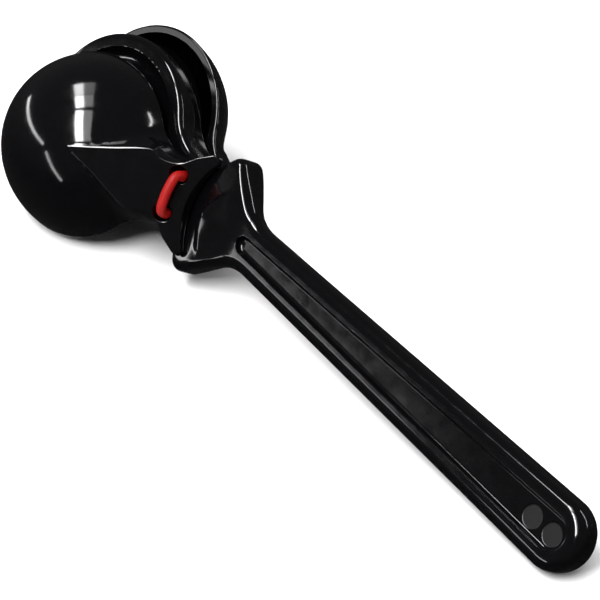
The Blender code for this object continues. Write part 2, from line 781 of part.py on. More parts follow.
def main():
    clear_scene()
    parts = make_collection("flapper_castanet")
    cutters = make_collection("cutters")
    black = material("gloss_black_plastic", (0.006, 0.006, 0.007), 0.12)
    red = material("red_elastic", (0.55, 0.012, 0.01), 0.45)
    table = bpy.data.objects.new("lie_of_the_castanet", None)
    bpy.context.scene.collection.objects.link(table)
    front_hinge = hinge_frames("front", 1, FRONT_SKEW, FRONT_SLIDE, FRONT_OPEN, table)
    back_hinge = hinge_frames("back", -1, BACK_SKEW, BACK_SLIDE, BACK_OPEN, table)
    handle = make_handle(parts, cutters, black)
    handle.parent = table
    for word, hinge in (("front", front_hinge), ("back", back_hinge)):
        shell = make_clapper(word + "_clapper", parts, cutters, black)
        shell.parent = hinge
    front = local_matrix(front_hinge, table)
    back = local_matrix(back_hinge, table)
    make_cord(front, back, table, parts, cutters, red)
    set_down(table, parts)


main()
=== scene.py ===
"""Flapper castanet: the finished look of the handle, the two clapper shells and the red cord.

Run as a script. It is laid out as an add-on so that each piece has its own operator and sizes.
Every piece is shaped in the castanet's own axes, in metres: X runs along the handle from the paddle
to the butt, Y across it and Z out of the face under the front shell. The hinge line is at X = 0.
"""

import math

import bpy
import numpy as np
from bpy.props import FloatProperty, FloatVectorProperty, PointerProperty
from bpy.types import Operator, Panel, PropertyGroup
from mathutils import Matrix, Vector


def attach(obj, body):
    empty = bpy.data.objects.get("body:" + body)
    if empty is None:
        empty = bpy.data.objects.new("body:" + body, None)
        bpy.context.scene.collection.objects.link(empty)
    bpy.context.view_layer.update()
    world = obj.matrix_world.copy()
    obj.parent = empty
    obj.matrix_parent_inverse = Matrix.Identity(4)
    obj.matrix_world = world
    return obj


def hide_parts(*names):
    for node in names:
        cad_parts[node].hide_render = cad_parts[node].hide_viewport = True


bl_info = {
    "name": "Flapper castanet",
    "version": (2, 0, 0),
    "blender": (4, 5, 0),
    "location": "View3D > Sidebar > Castanet",
    "description": "Handle castanet with two laced clapper shells",
    "category": "Object",
}

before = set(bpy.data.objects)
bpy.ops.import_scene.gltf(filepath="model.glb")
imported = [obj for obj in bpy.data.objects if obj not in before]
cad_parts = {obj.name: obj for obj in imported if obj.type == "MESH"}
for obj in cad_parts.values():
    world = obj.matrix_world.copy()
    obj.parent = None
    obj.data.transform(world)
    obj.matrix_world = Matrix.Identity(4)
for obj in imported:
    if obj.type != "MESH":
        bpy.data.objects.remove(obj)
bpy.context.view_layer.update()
MM = 0.001

# How the castanet lies on the floor
LEAN = math.radians(52.688)
PITCH = math.radians(4.197)
LIE_PLACE = (-0.042297, 0.00212, 0.020589)

# The camera in the castanet's own axes, and its place in the picture
CAMERA_BACK = (0.5595, 0.2453, 0.7917)
CAMERA_UP = (-0.5634, 0.8131, 0.1463)
CAMERA_TARGET = (0.0565, 0.0, 0.0)
CAMERA_DISTANCE = 0.7683
CAMERA_LENS = 167.59
CAMERA_SHIFT = (-0.05811, 0.04275)

# Outline of the handle
HALF_HEAD = 5.5 * MM
NECK_STATION = 15.4 * MM
NECK_RADIUS = 15.0 * MM
SHOULDER_CORNER = (0.8 * MM, 20.5 * MM)
CORNER_RADIUS = 2.8 * MM
FLARE_RADIUS = 12.0 * MM
HUMP_FRONT = 0.4 * MM
HUMP_FRONT_RADIUS = 12.0 * MM
HUMP_FALL = (0.25, 0.15)
SHOULDER_FALL = 3.5 * MM

# Outline of an ear and of the flat top of its ramp, as distances from the hinge and from the middle
HORN = (0.3 * MM, 16.7 * MM)
HORN_HALF_WIDTH = 16.4 * MM
HORN_RADIUS = 1.3 * MM
ARC_FROM_HORN = 2.86 * MM
RAMP_SIDE = [
    (37.5 * MM, 0.0),
    (27.0 * MM, 5.0 * MM),
    (17.9 * MM, 9.4 * MM),
    (14.9 * MM, 8.4 * MM),
    (11.9 * MM, 8.3 * MM),
    (8.9 * MM, 9.4 * MM),
    (5.3 * MM, 13.0 * MM),
    (1.6 * MM, 15.5 * MM),
]
# Which place on the ramp's side faces a place on the outline, both from the hinge
RAMP_FACING = [(0.0, 0.0), (14.0, 13.6), (20.0, 17.9), (25.0, 22.5), (32.0, 30.0), (40.0, 35.5), (46.0, 37.5)]

# Shape of the cord as shares of a shift, of the holes' half spacing and of a rise
STITCH_HALF = [(0.5, 0.99, -0.5), (0.6, 0.99, 0.15), (0.7, 0.9, 0.64), (0.75, 0.7, 0.93), (0.7, 0.38, 1.01)]
STITCH_SHAPE = [(x, -y, z) for x, y, z in STITCH_HALF] + [(0.65, 0.0, 1.04)] + STITCH_HALF[::-1]
KNOT_START = [(1.0, -1.1, 1.0), (1.0, -0.4, 1.0), (1.0, 0.4, 1.0), (0.5, 0.85, 0.75)]
KNOT_END = [(-0.5, -0.85, 0.75), (-1.0, -0.4, 1.0), (-1.0, 0.4, 1.0), (-1.0, 1.1, 1.0)]

# How fine the meshes are, and how near two points are one
WELD = 0.0008 * MM
DISC_STEPS = 84
ARC_STEPS = 24


def length(name, description, value):
    """A size property, given in millimetres."""
    return FloatProperty(name=name, description=description, default=value * MM, min=0.0, unit="LENGTH")


def angle(name, description, value):
    return FloatProperty(name=name, description=description, default=math.radians(value), unit="ROTATION")


def colour(name, description, hex_colour):
    return FloatVectorProperty(
        name=name, description=description, subtype="COLOR", size=3, min=0.0, max=1.0, default=linear(hex_colour)
    )


def linear(hex_colour):
    """An sRGB hex colour as linear red, green and blue."""
    values = [int(hex_colour[i : i + 2], 16) / 255 for i in (1, 3, 5)]
    return tuple(v / 12.92 if v <= 0.04045 else ((v + 0.055) / 1.055) ** 2.4 for v in values)


class HandleSizes(PropertyGroup):
    paddle_radius: length("Paddle radius", "Half the width of the paddle", 27.0)
    paddle_centre: length("Paddle centre", "From the hinge line to the middle of the paddle", 48.0)
    stretch: FloatProperty(name="Stretch", description="Length of the paddle over its width", default=1.04)
    waist_place: length("Waist place", "From the hinge line to the narrowest part of the waist", 12.5)
    waist: length("Waist", "Half the width of the waist", 10.7)
    paddle_edge: length("Paddle edge", "Rounding of the paddle's edge", 1.8)
    land: length("Land", "Width of the flat rim round the dish", 4.0)
    dish: length("Dish", "Depth of the dish in each face of the paddle", 2.4)
    shoulder_edge: length("Shoulder edge", "Rounding of the shoulder's edge", 3.0)
    hump: length("Hump", "Height of the hump on the shoulder", 2.3)
    hump_ramp: length("Hump slope", "Length of the slope up to the front of the hump", 1.7)
    hump_inset: length("Hump inset", "From the shoulder's edge to the foot of the hump", 0.1)
    butt_end: length("Butt end", "From the hinge line to the tip of the butt", 161.0)
    butt_width: length("Butt width", "Width of the butt", 20.2)
    butt_thickness: length("Butt thickness", "Thickness at the butt", 9.8)
    neck_width: length("Neck width", "Width of the bar behind the shoulder", 14.4)
    neck_thickness: length("Neck thickness", "Thickness of the bar behind the shoulder", 7.6)
    bar_edge: length("Bar edge", "Rounding of the bar's edges", 3.4)
    channel_depth: length("Channel depth", "Depth of the channel in each face", 2.2)
    channel_start: length("Channel start", "From the hinge line to the round start of the channel", 17.0)
    channel_narrow: length("Channel start width", "Width of the channel at the shoulder", 4.6)
    channel_wide: length("Channel end width", "Width of the channel at the butt", 10.0)
    channel_fillet: length("Channel fillet", "Rounding along the channel's floor", 1.1)
    mark_radius: length("Mark radius", "Radius of the two round marks in the channel", 3.4)
    mark_depth: length("Mark depth", "Depth of the round marks", 0.35)
    mark_spacing: length("Mark spacing", "Distance between the marks", 7.8)


class ShellSizes(PropertyGroup):
    radius: length("Radius", "Half the width of a shell", 27.5)
    dome: length("Dome height", "Height of the dome above the mouth", 22.6)
    wall: length("Wall", "Thickness of the dome's wall", 2.4)
    edge: length("Mouth edge", "Rounding of the edge round the mouth", 0.7)
    tip: length("Ear tip", "Thickness of the ear at its tip", 1.4)
    hollow: length("Hollow", "Depth of the hollow in the ear's end", 3.6)
    step: length("Ramp step", "How far the ramp's top stands above the dome", 0.5)
    ramp_edge: length("Ramp edge", "Rounding of the ramp's edge", 0.4)
    blend: length("Blend", "How softly the ear's side runs into the dome", 3.0)
    front_open: angle("Front opening", "How far the front shell stands open", 4.4)
    back_open: angle("Back opening", "How far the back shell stands open", 0.4)
    front_skew: angle("Front skew", "How far the front shell has turned on the lacing", 10.6)
    back_skew: angle("Back skew", "How far the back shell has turned on the lacing", -10.8)
    front_slide: FloatProperty(
        name="Front slide", description="How far the front shell has slid", default=-0.8 * MM, unit="LENGTH"
    )
    back_slide: FloatProperty(
        name="Back slide", description="How far the back shell has slid", default=-1.8 * MM, unit="LENGTH"
    )


class CordSizes(PropertyGroup):
    diameter: length("Diameter", "Diameter of the elastic cord", 2.9)
    in_ear: length("Room in the ear", "Clearance round the cord in an ear's hole", 1.1)
    in_shoulder: length("Room in the shoulder", "Clearance round the cord in the shoulder's hole", 1.75)
    hole_place: length("Hole place", "From the hinge line to the holes", 8.5)
    hole_spacing: length("Hole spacing", "Half the distance between the holes", 5.85)
    stitch_rise: length("Stitch rise", "Height of the stitch above the ear", 2.87)
    stitch_shift: length("Stitch shift", "How far the stitch lies from the middle of the holes", 1.0)
    stand: length("Stand", "How far the cord stands out of a hole before it bends", 1.6)
    knot_rise: length("Knot rise", "Height of the knot above the ear", 5.8)
    knot_aside: length("Knot aside", "How far the ends lie from the middle of the knot", 1.55)
    knot_length: length("Knot length", "Half the length of the knot's turn", 2.95)
    knot_height: length("Knot height", "Half the height of the knot's turn", 2.4)
    knot_cord: length("Knot cord", "Radius of the cord in the knot's turn", 1.3)
    lag: FloatProperty(name="Lag", description="Share of a shell's slide that the cord keeps back", default=0.38)


class CastanetColours(PropertyGroup):
    black: colour("Black", "Colour of the moulded plastic", "#040405")
    etched: colour("Etched black", "Colour of the two round marks", "#080809")
    red: colour("Red", "Colour of the elastic cord", "#8C0A06")
    floor: colour("Floor", "Colour of the floor", "#FBFBFB")


def node(tree, kind, links=(), **settings):
    """Adds a shader node, sets its own settings and sockets, and links (output, input name) pairs."""
    made = tree.nodes.new(kind)
    for name, value in settings.items():
        if hasattr(made, name):
            setattr(made, name, value)
        else:
            made.inputs[name.replace("_", " ")].default_value = value
    for output, name in links:
        tree.links.new(output, made.inputs[name])
    return made


def empty_material(name):
    made = bpy.data.materials.new(name)
    made.use_nodes = True
    made.node_tree.nodes.clear()
    return made


def black_abs():
    """Injection-moulded black ABS from a polished tool: a deep, wet-looking gloss.

    The melt's flow leaves waves too soft to see but for a slight swim in the reflections, and
    handling leaves a thin haze that greys the edges of each highlight.
    """
    made = empty_material("moulded_black_abs")
    tree = made.node_tree
    place = node(tree, "ShaderNodeTexCoord")
    # Flow waves about 9 mm apart: 1000 / 110
    waves = node(tree, "ShaderNodeTexNoise", [(place.outputs["Object"], "Vector")], Scale=110.0, Detail=1.0)
    # Haze in patches of about 4 mm: 1000 / 250
    haze = node(tree, "ShaderNodeTexNoise", [(place.outputs["Object"], "Vector")], Scale=250.0, Detail=5.0)
    gloss = node(
        tree,
        "ShaderNodeMapRange",
        [(haze.outputs["Fac"], "Value")],
        From_Min=0.3,
        From_Max=0.7,
        To_Min=0.07,
        To_Max=0.12,
    )
    bump = node(tree, "ShaderNodeBump", [(waves.outputs["Fac"], "Height")], Strength=0.15, Distance=0.00002)
    shader = node(
        tree,
        "ShaderNodeBsdfPrincipled",
        [(gloss.outputs["Result"], "Roughness"), (bump.outputs["Normal"], "Normal")],
        IOR=1.53,
    )
    shader.inputs["Base Color"].default_value = (*bpy.context.scene.castanet_colours.black, 1.0)
    node(tree, "ShaderNodeOutputMaterial", [(shader.outputs["BSDF"], "Surface")])
    return made


def etched_abs():
    """The same black ABS off an etched pin's end: a fine matt grain that looks grey beside the gloss."""
    made = empty_material("etched_black_abs")
    tree = made.node_tree
    place = node(tree, "ShaderNodeTexCoord")
    # The etched grain, about 0.3 mm: 1000 / 3300
    grain = node(tree, "ShaderNodeTexNoise", [(place.outputs["Object"], "Vector")], Scale=3300.0, Detail=3.0)
    bump = node(tree, "ShaderNodeBump", [(grain.outputs["Fac"], "Height")], Strength=0.5, Distance=0.00003)
    shader = node(
        tree, "ShaderNodeBsdfPrincipled", [(bump.outputs["Normal"], "Normal")], Roughness=0.36, IOR=1.53
    )
    shader.inputs["Base Color"].default_value = (*bpy.context.scene.castanet_colours.etched, 1.0)
    node(tree, "ShaderNodeOutputMaterial", [(shader.outputs["BSDF"], "Surface")])
    return made


def red_elastic():
    """Round elastic in a thin skin of red rubber: a satin red that pales where it turns to the light."""
    made = empty_material("extruded_red_elastic")
    tree = made.node_tree
    place = node(tree, "ShaderNodeTexCoord")
    # Worn and cleaner patches about 2 mm across: 1000 / 500
    wear = node(tree, "ShaderNodeTexNoise", [(place.outputs["Object"], "Vector")], Scale=500.0, Detail=4.0)
    shade = node(tree, "ShaderNodeMapRange", [(wear.outputs["Fac"], "Value")], To_Min=0.86, To_Max=1.08)
    tint = node(
        tree, "ShaderNodeHueSaturation", [(shade.outputs["Result"], "Value")], Saturation=1.0
    )
    tint.inputs["Color"].default_value = (*bpy.context.scene.castanet_colours.red, 1.0)
    # The fine grain of the rubber skin, about 0.25 mm: 1000 / 4000
    grain = node(tree, "ShaderNodeTexNoise", [(place.outputs["Object"], "Vector")], Scale=4000.0, Detail=2.0)
    bump = node(tree, "ShaderNodeBump", [(grain.outputs["Fac"], "Height")], Strength=0.35, Distance=0.00004)
    shader = node(
        tree,
        "ShaderNodeBsdfPrincipled",
        [(tint.outputs["Color"], "Base Color"), (bump.outputs["Normal"], "Normal")],
        Roughness=0.5,
        IOR=1.5,
        Specular_IOR_Level=0.25,
    )
    node(tree, "ShaderNodeOutputMaterial", [(shader.outputs["BSDF"], "Surface")])
    return made


def pale_floor():
    """Matt white paper: flat, with a grain too fine to see from here."""
    made = empty_material("matt_white_paper")
    tree = made.node_tree
    place = node(tree, "ShaderNodeTexCoord")
    grain = node(tree, "ShaderNodeTexNoise", [(place.outputs["Object"], "Vector")], Scale=900.0, Detail=2.0)
    shade = node(tree, "ShaderNodeMapRange", [(grain.outputs["Fac"], "Value")], To_Min=0.98, To_Max=1.0)
    tint = node(tree, "ShaderNodeHueSaturation", [(shade.outputs["Result"], "Value")])
    tint.inputs["Color"].default_value = (*bpy.context.scene.castanet_colours.floor, 1.0)
    shader = node(tree, "ShaderNodeBsdfPrincipled", [(tint.outputs["Color"], "Base Color")], Roughness=0.9)
    node(tree, "ShaderNodeOutputMaterial", [(shader.outputs["BSDF"], "Surface")])
    return made


def lie_matrix():
    """From the castanet's own axes to where it lies on the floor."""
    turn = Matrix.Rotation(PITCH, 4, "Y") @ Matrix.Rotation(LEAN, 4, "X")
    return Matrix.Translation(LIE_PLACE) @ turn


def shell_matrix(word):
    """From a shell's own axes, with its outside toward Z, to the castanet's."""
    shell = bpy.context.scene.castanet_shells
    place = bpy.context.scene.castanet_cord.hole_place
    front = word == "front"
    face = 1 if front else -1
    slide = shell.front_slide if front else shell.back_slide
    skew = shell.front_skew if front else shell.back_skew
    opening = shell.front_open if front else shell.back_open
    turn = Matrix.Rotation(skew, 4, "Z") @ Matrix.Rotation(0.0 if front else math.pi, 4, "X")
    pivot = Matrix.Translation((-place, slide, face * (HALF_HEAD + 0.3 * MM))) @ turn
    return pivot @ Matrix.Translation((place, 0.0, 0.0)) @ Matrix.Rotation(opening, 4, "Y")


def alone(obj=None):
    """Leaves edit mode and selects one object or nothing."""
    if bpy.context.mode != "OBJECT":
        bpy.ops.object.mode_set(mode="OBJECT")
    bpy.ops.object.select_all(action="DESELECT")
    if obj is not None:
        obj.select_set(True)
        bpy.context.view_layer.objects.active = obj


def rolled(name, rings):
    """A grid rolled up into a closed body: each ring of points is one row of the grid.

    The seam and rows that shrink to a point are merged, and open ends are filled.
    """
    rings = np.array(rings)
    rows, around = rings.shape[:2]
    alone()
    bpy.ops.mesh.primitive_grid_add(x_subdivisions=around, y_subdivisions=rows - 1, size=2.0)
    obj = bpy.context.object
    obj.name = name
    flat = np.empty(len(obj.data.vertices) * 3)
    obj.data.vertices.foreach_get("co", flat)
    flat = flat.reshape(-1, 3)
    column = np.rint((flat[:, 0] + 1) / 2 * around).astype(int) % around
    row = np.rint((flat[:, 1] + 1) / 2 * (rows - 1)).astype(int)
    obj.data.vertices.foreach_set("co", rings[row, column].ravel())
    obj.data.update()
    bpy.ops.object.mode_set(mode="EDIT")
    bpy.ops.mesh.select_all(action="SELECT")
    bpy.ops.mesh.remove_doubles(threshold=WELD)
    bpy.ops.mesh.dissolve_degenerate(threshold=WELD)
    bpy.ops.mesh.select_all(action="SELECT")
    bpy.ops.mesh.fill_holes(sides=0)
    bpy.ops.mesh.select_all(action="SELECT")
    bpy.ops.mesh.normals_make_consistent(inside=False)
    bpy.ops.object.mode_set(mode="OBJECT")
    return obj


def cut(obj, other, operation="DIFFERENCE"):
    """Cuts with the other object or joins it, and takes the other away."""
    alone(obj)
    modifier = obj.modifiers.new(operation.lower(), "BOOLEAN")
    modifier.operation = operation
    modifier.object = other
    modifier.solver = "EXACT"
    bpy.ops.object.modifier_apply(modifier=modifier.name)
    bpy.data.objects.remove(other, do_unlink=True)
    bpy.ops.object.mode_set(mode="EDIT")
    bpy.ops.mesh.select_all(action="SELECT")
    bpy.ops.mesh.remove_doubles(threshold=WELD)
    bpy.ops.mesh.dissolve_degenerate(threshold=WELD)
    bpy.ops.object.mode_set(mode="OBJECT")


def chosen_edges(obj, wanted):
    """Goes into edit mode with the edges selected whose two ends the test takes."""
    alone(obj)
    bpy.ops.object.mode_set(mode="EDIT")
    bpy.ops.mesh.select_mode(type="EDGE")
    bpy.ops.mesh.select_all(action="DESELECT")
    bpy.ops.object.mode_set(mode="OBJECT")
    count = 0
    for edge in obj.data.edges:
        ends = [obj.data.vertices[i].co for i in edge.vertices]
        if wanted(*ends):
            edge.select = True
            count += 1
    bpy.ops.object.mode_set(mode="EDIT")
    return count


def finished(obj, finish, smooth, matrix, body, node_name):
    """Puts a piece in its place and gives it its finish, and lets it stand for its CAD node."""
    obj.data.transform(matrix)
    alone(obj)
    bpy.ops.object.shade_smooth_by_angle(angle=math.radians(smooth))
    modifier = obj.modifiers.new("weighted", "WEIGHTED_NORMAL")
    modifier.mode = "FACE_AREA_WITH_ANGLE"
    modifier.keep_sharp = True
    bpy.ops.object.modifier_apply(modifier=modifier.name)
    obj.data.materials.append(finish)
    obj.select_set(False)
    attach(obj, body)
    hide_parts(node_name)


def ease(x, start, end):
    """Rises smoothly from 0 at the start to 1 at the end."""
    share = np.clip((x - start) / (end - start), 0.0, 1.0)
    return share * share * (3 - 2 * share)


def soft_positive(value, width):
    """The value where it is positive and 0 elsewhere, rounded over about the width."""
    return (value + np.sqrt(value * value + width * width)) / 2


def crown(share):
    """A pillow's rise: soft at its foot, then quick, and level at the top from share 1."""
    share = np.clip(share, 0.0, 1.0)
    soft = (np.sqrt(share**2 + 0.02) - math.sqrt(0.02)) / (math.sqrt(1.02) - math.sqrt(0.02))
    return soft * (2 - soft)


def arc(centre, radius, start, end, steps):
    """Points on an arc, both ends included, with angles in radians."""
    turns = np.linspace(start, end, steps + 1)
    return [(centre[0] + radius * math.cos(a), centre[1] + radius * math.sin(a)) for a in turns]


def rounded(points, radius, steps):
    """The corners of an open run of points, each but the ends rounded with an arc."""
    out = [points[0]]
    for before, at, after in zip(points, points[1:], points[2:]):
        corner = Vector(at)
        first = (Vector(before) - corner).normalized()
        second = (Vector(after) - corner).normalized()
        half = first.angle(second) / 2
        centre = corner + (first + second).normalized() * (radius / math.sin(half))
        start = corner + first * (radius / math.tan(half)) - centre
        end = corner + second * (radius / math.tan(half)) - centre
        sweep = start.angle_signed(end)
        for i in range(steps + 1):
            out.append(tuple(centre + Matrix.Rotation(-sweep * i / steps, 2) @ start))
    out.append(points[-1])
    return out


def side_to_flare(radius, corner):
    """The upper side of an outline: the stretched disc, its waist and the flare that opens after it."""
    handle = bpy.context.scene.castanet_handle
    centre = -handle.paddle_centre / handle.stretch
    waist = (-handle.waist_place / handle.stretch, handle.waist)
    reach = waist[0] - centre
    fillet = (reach**2 + waist[1] ** 2 - radius**2) / (2 * (radius - waist[1]))
    middle = (waist[0], waist[1] + fillet)
    meets = math.atan2(middle[1], reach)
    points = arc((centre, 0.0), radius, math.pi, meets, DISC_STEPS)[:-1]
    points += arc(middle, fillet, meets + math.pi, 1.5 * math.pi, ARC_STEPS)
    flare = (waist[0], waist[1] + FLARE_RADIUS)
    away = Vector((corner[0] / handle.stretch - flare[0], corner[1] - flare[1]))
    turn = math.atan2(away.y, away.x) + math.pi / 2 - math.acos(min(1.0, FLARE_RADIUS / away.length))
    points += arc(flare, FLARE_RADIUS, -math.pi / 2, -math.pi / 2 + turn, ARC_STEPS)[1:]
    return [(x * handle.stretch, y) for x, y in points]


def inward(points):
    """Unit directions into the outline from the points of its upper side, left to right."""
    points = np.array(points)
    along = np.gradient(points, axis=0)
    along[0] = (0.0, 1.0)
    along[-1] = (0.0, -1.0)
    along /= np.linalg.norm(along, axis=1)[:, None]
    return np.stack((along[:, 1], -along[:, 0]), axis=1)


def handle_side():
    """The upper side of the handle from the far end of the paddle to the tip of the butt."""
    handle = bpy.context.scene.castanet_handle
    flare = side_to_flare(handle.paddle_radius, SHOULDER_CORNER)
    radius = handle.butt_width / 2
    centre = handle.butt_end - radius
    neck = (NECK_STATION, handle.neck_width / 2)
    first = rounded([flare[-1], SHOULDER_CORNER, neck], CORNER_RADIUS, 14)
    second = rounded([first[-2], neck, (centre, radius)], NECK_RADIUS, 18)
    run = flare + first[1:-1] + second[1:]
    out = [run[0]]
    for (x0, y0), (x1, y1) in zip(run, run[1:]):
        step = 0.6 * MM if x1 < 2 * NECK_STATION else 4.0 * MM
        steps = max(1, math.ceil(math.hypot(x1 - x0, y1 - y0) / step))
        out += [(x0 + (x1 - x0) * i / steps, y0 + (y1 - y0) * i / steps) for i in range(1, steps + 1)]
    return out + arc((centre, 0.0), radius, math.pi / 2, 0.0, 30)[1:]


def half_thickness(x):
    """Half of the handle's thickness, which falls off behind the shoulder and grows to the butt."""
    handle = bpy.context.scene.castanet_handle
    share = np.maximum(0.0, x - NECK_STATION) / (handle.butt_end - NECK_STATION)
    bar = (handle.neck_thickness + (handle.butt_thickness - handle.neck_thickness) * share) / 2
    return HALF_HEAD + (bar - HALF_HEAD) * ease(x, SHOULDER_FALL, NECK_STATION)


def hump(x, y, half_width):
    """How far the shoulder stands above its land: a smooth hump that the ear's hollow edge clears."""
    handle = bpy.context.scene.castanet_handle
    from_front = x - HUMP_FRONT - y * y / (2 * HUMP_FRONT_RADIUS)
    from_side = (half_width - np.abs(y)) * math.cos(math.pi / 4) - handle.hump_inset
    # A roof with its ridge along the handle, that falls off toward the butt and to both sides
    back = soft_positive(x - 1.5 * MM, 1.0 * MM)
    aside = np.sqrt(y * y + MM * MM) - MM
    roof = soft_positive(handle.hump - HUMP_FALL[0] * back - HUMP_FALL[1] * aside, 0.25 * MM)
    return roof * crown(from_front / handle.hump_ramp) * crown(from_side / (1.7 * handle.hump_ramp))


def make_handle():
    """Paddle, waist, shoulder, bar and butt in one body, without its dishes, channels and holes."""
    handle = bpy.context.scene.castanet_handle
    side = np.array(handle_side())
    x, y = side.T
    centre = -handle.paddle_centre
    butt = handle.butt_end - handle.butt_width / 2
    # The edge is rounded square to the outline on the paddle and bar, and across on the shoulder
    square = inward(side)
    mix = ease(x, -handle.waist_place - 6 * MM, -handle.waist_place)
    mix *= 1 - ease(x, NECK_STATION, NECK_STATION + 8 * MM)
    square = square * (1 - mix[:, None]) + np.array((0.0, -1.0)) * mix[:, None]
    square /= np.linalg.norm(square, axis=1)[:, None]
    edge = handle.paddle_edge + (handle.shoulder_edge - handle.paddle_edge) * ease(x, -handle.waist_place, 0.0)
    edge += (handle.bar_edge - edge) * ease(x, 0.0, NECK_STATION)
    inner = side + square * edge[:, None]
    hub = np.stack((np.where(x < centre, centre, np.where(x > butt, butt, inner[:, 0])), 0 * x), axis=1)
    widths = (x[DISC_STEPS:], y[DISC_STEPS:])

    def raised(place):
        rise = hump(place[:, 0], place[:, 1], np.interp(place[:, 0], *widths))
        return np.where(place[:, 0] > -handle.waist_place, rise, 0.0)

    columns = []
    for turn in np.linspace(0.0, math.pi / 2, 10)[:-1]:
        place = side + square * (edge * (1 - math.cos(turn)))[:, None]
        height = half_thickness(inner[:, 0]) - edge * (1 - math.sin(turn))
        columns.append(np.column_stack((place, height + raised(place) * math.sin(turn))))
    for share in np.linspace(0.0, 1.0, 27):
        place = inner + (hub - inner) * share
        columns.append(np.column_stack((place, half_thickness(place[:, 0]) + raised(place))))
    upper = np.array(columns)
    across = upper[-2::-1] * np.array((1.0, -1.0, 1.0))
    face = np.concatenate((upper, across))
    under = face[::-1] * np.array((1.0, 1.0, -1.0))
    rings = np.concatenate((face, under)).transpose(1, 0, 2)
    return rolled("handle_moulding", rings)


def flatten_paddle(obj):
    """Melts the many flat faces of the paddle into one on each side, for clean cuts."""
    edge_x = -bpy.context.scene.castanet_handle.waist_place
    chosen_edges(obj, lambda a, b: max(a.x, b.x) < edge_x and min(abs(a.z), abs(b.z)) > HALF_HEAD - 0.001 * MM)
    bpy.ops.mesh.dissolve_limited(angle_limit=math.radians(0.02))
    bpy.ops.object.mode_set(mode="OBJECT")


def ring(radius, height, count, stretch=1.0):
    turns = np.linspace(0.0, 2 * math.pi, count, endpoint=False)
    return np.column_stack((stretch * radius * np.cos(turns), radius * np.sin(turns), 0 * turns + height))


def turned(name, profile, count, matrix, stretch=1.0):
    """A closed body turned from (radius, height) pairs, bottom first, and put in its place."""
    obj = rolled(name, [ring(r, z, count, stretch) for r, z in profile])
    obj.data.transform(matrix)
    return obj


def quarter(start, end, bulge, steps):
    """Points from one (radius, height) to another along a quarter round, without the first."""
    out = []
    for a in np.linspace(0.0, math.pi / 2, steps + 1)[1:]:
        first, second = (1 - math.cos(a), math.sin(a)) if bulge == "out" else (math.sin(a), 1 - math.cos(a))
        out.append((start[0] + (end[0] - start[0]) * first, start[1] + (end[1] - start[1]) * second))
    return out


def cut_dish(obj, face):
    """The shallow dish in one face of the paddle, with a soft lip and a cove at its foot."""
    handle = bpy.context.scene.castanet_handle
    rim = handle.paddle_radius - handle.land
    depth = handle.dish
    lip = 0.5 * MM
    profile = [(0.0, -depth), (rim - 3.4 * MM, -depth)]
    profile += quarter(profile[-1], (rim - 0.5 * MM, -0.45 * depth), "in", 8)
    profile += [(rim - 0.3 * MM, -lip)]
    profile += quarter(profile[-1], (rim + 0.1 * MM, 0.02 * MM), "out", 5)
    profile += [(rim + 0.4 * MM, 0.6 * MM), (0.0, 0.6 * MM)]
    turn = Matrix.Rotation(0.0 if face > 0 else math.pi, 4, "X")
    place = turn @ Matrix.Translation((-handle.paddle_centre, 0.0, HALF_HEAD))
    cut(obj, turned("dish", profile, 168, place, handle.stretch))


def slot_ring(start, end, narrow, wide, height):
    """A slot's outline at one height: round at both ends, with its own radius at each."""
    lean = math.asin((wide - narrow) / (end - start))
    points = arc((end, 0.0), wide, -math.pi / 2 - lean, math.pi / 2 + lean, 28)
    points += arc((start, 0.0), narrow, math.pi / 2 + lean, 1.5 * math.pi - lean, 20)
    return [(x, y, height) for x, y in points]


def cut_channel(obj, face):
    """The channel in one face of the bar: a flat floor with rounded corners, and a soft lip."""
    handle = bpy.context.scene.castanet_handle
    start = handle.channel_start
    end = handle.butt_end - handle.butt_width / 2
    narrow, wide = handle.channel_narrow / 2, handle.channel_wide / 2
    lip = 0.5 * MM
    fillet = handle.channel_fillet
    depth = handle.channel_depth
    profile = [(-fillet, -depth)] + quarter((-fillet, -depth), (0.0, fillet - depth), "in", 7)
    profile += [(0.05 * MM, -lip)] + quarter((0.05 * MM, -lip), (0.6 * lip, 0.01 * MM), "out", 6)
    profile += [(0.6 * lip + 0.3 * MM, 2.0 * MM)]
    rings = [slot_ring(start, end, narrow + inset, wide + inset, height) for inset, height in profile]
    cutter = rolled("channel", rings)
    first, last = half_thickness(start), half_thickness(end)
    tilt = math.atan((last - first) / (end - start))
    turn = Matrix.Rotation(0.0 if face > 0 else math.pi, 4, "X")
    place = Matrix.Translation((start, 0.0, first)) @ Matrix.Rotation(-tilt, 4, "Y")
    cutter.data.transform(turn @ place @ Matrix.Translation((-start, 0.0, 0.0)))
    cut(obj, cutter)


def cut_marks(obj):
    """The two round marks in the channel's floor, slightly sunk, with soft rims."""
    handle = bpy.context.scene.castanet_handle
    end = handle.butt_end - handle.butt_width / 2
    radius, depth = handle.mark_radius, handle.mark_depth
    for number in (0, 1):
        x = end - number * handle.mark_spacing
        profile = [(0.0, -depth), (radius - 0.5 * MM, -depth)]
        profile += quarter(profile[-1], (radius, 0.1 * MM), "in", 5)
        profile += [(radius + 0.2 * MM, 1.2 * MM), (0.0, 1.2 * MM)]
        floor = half_thickness(x) - handle.channel_depth
        place = Matrix.Translation((x, -0.8 * MM, floor)) @ Matrix.Rotation(math.radians(-0.45), 4, "Y")
        cut(obj, turned("mark", profile, 72, place))
        for face in obj.data.polygons:
            middle = face.center
            near = math.hypot(middle.x - x, middle.y + 0.8 * MM) < radius
            if near and middle.z > 0 and middle.z < floor - 0.5 * depth:
                face.material_index = 1


